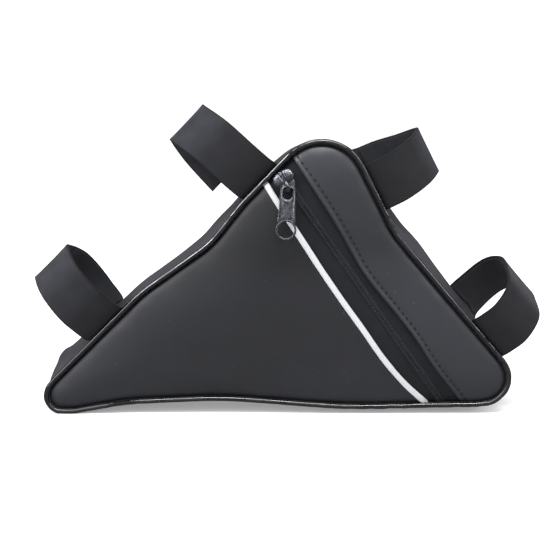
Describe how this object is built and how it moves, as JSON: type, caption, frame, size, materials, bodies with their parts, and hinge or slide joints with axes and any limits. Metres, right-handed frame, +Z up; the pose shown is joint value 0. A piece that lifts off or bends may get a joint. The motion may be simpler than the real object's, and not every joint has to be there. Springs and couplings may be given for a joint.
{
  "type": "bicycle frame bag",
  "caption": "Triangular bicycle frame bag with a slanted zip, pale edge stripe, glossy piping and strap loops on both sides.",
  "frame": {"origin": "on the floor, in the middle of the bag's length and depth", "axes": "+X along the bag's length, to the right as its front is seen; the front with the zip faces -Y; +Z up"},
  "size_m": [0.3811, 0.0811, 0.2303],
  "materials": {
    "panel_leather": "matt-satin black synthetic leather with a very fine grain",
    "gusset_leather": "the same synthetic leather on the side wall, a little paler",
    "gloss_piping": "glossy black edge cord",
    "zip_cloth": "dark woven zip tape",
    "zip_coil": "black nylon coil",
    "gunmetal": "dark plated metal, lightly textured",
    "reflective": "smooth white reflective piping",
    "strap_weave": "matt black woven strap"
  },
  "bodies": {
    "bag": {"front_panel_lower": "panel_leather", "front_panel_upper": "panel_leather", "back_panel": "panel_leather", "gusset": "gusset_leather", "front_piping": "gloss_piping", "back_piping": "gloss_piping", "zip_tape_lower": "zip_cloth", "zip_tape_upper": "zip_cloth", "zip_coil": "zip_coil", "zip_slider": "gunmetal", "reflective_stripe": "reflective", "strap_upper_left": "strap_weave", "strap_upper_left_catch": "strap_weave", "strap_lower_left": "strap_weave", "strap_upper_right": "strap_weave", "strap_lower_right": "strap_weave"},
    "pull": {"zip_pull": "gunmetal"}
  },
  "joints": [
    {"name": "pull_swing", "type": "hinge", "parent": "bag", "child": "pull", "pos_m": [0.00115, -0.03078, 0.174], "axis": [-0.986, 0.166, 0.0137], "range_deg": [0, 150]}
  ]
}
